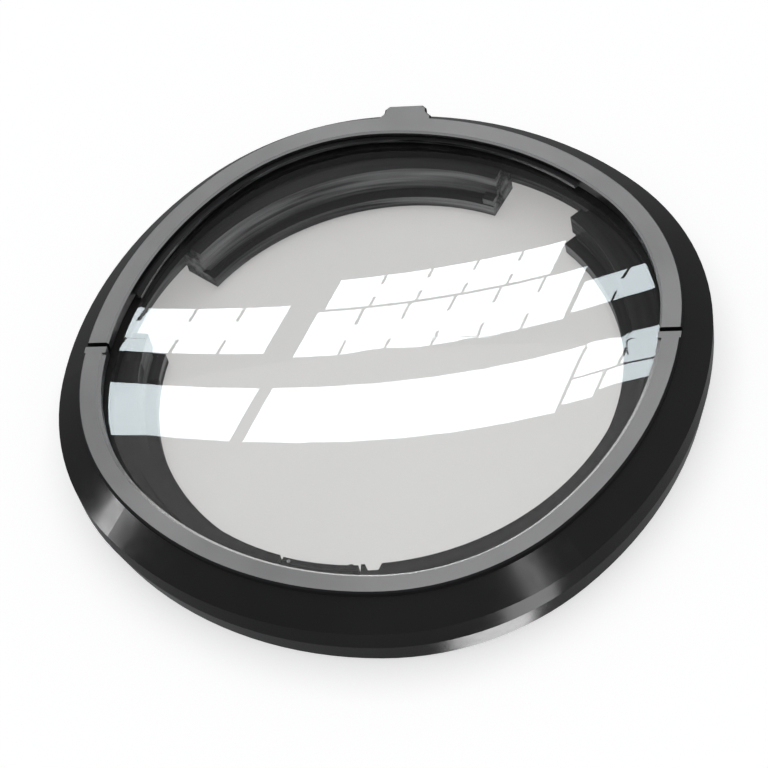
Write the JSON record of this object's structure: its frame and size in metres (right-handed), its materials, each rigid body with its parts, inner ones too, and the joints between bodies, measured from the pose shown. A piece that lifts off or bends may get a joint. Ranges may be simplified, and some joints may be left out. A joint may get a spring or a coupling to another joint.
{
  "type": "bayonet lens guard",
  "caption": "Low round lens guard: clear domed cover glass in a split satin ring on a flared black skirt, with a bayonet on the rear.",
  "frame": {"origin": "centre of the bayonet circle, on the rear rim plane", "axes": "+Z out of the front through the glass, +Y toward the lift tab, +X toward the right-hand joint between the front half rings"},
  "size_m": [0.0502, 0.0502, 0.0062],
  "materials": {
    "satin_ring": "satin grey, fine bead blast, bright chamfers",
    "gloss_black": "glossy near-black",
    "inner_black": "black anodised, glossy",
    "clear_glass": "polished, faint grey tint",
    "soft_black": "matt elastomer",
    "steel": "turned stainless"
  },
  "bodies": {
    "guard": {"bayonet_ring": "inner_black", "bayonet_screw_1": "steel", "bayonet_screw_2": "steel", "bayonet_screw_3": "steel", "bayonet_screw_4": "steel", "bezel_lower": "satin_ring", "cover_glass": "clear_glass", "cushion_lower": "soft_black", "dowel_centre": "steel", "dowel_left": "steel", "dowel_right": "steel", "glass_seal": "soft_black", "housing_skirt": "gloss_black", "pivot_pin": "steel", "rear_gasket": "soft_black"},
    "retainer": {"bezel_upper": "satin_ring", "retaining_lip": "inner_black", "cushion_upper": "soft_black", "guide_pin_left": "steel", "guide_pin_centre": "steel", "guide_pin_right": "steel"},
    "detent": {"detent_finger": "inner_black"}
  },
  "joints": [
    {"name": "retainer_lift", "type": "slide", "parent": "guard", "child": "retainer", "axis": [0, 0, 1], "range_m": [0, 0.0018]},
    {"name": "detent_flex", "type": "hinge", "parent": "guard", "child": "detent", "pos_m": [-0.00505, -0.01873, 0.0032], "axis": [0, 0, 1], "range_deg": [-3, 0], "stiffness_Nm_per_rad": 0.02}
  ]
}
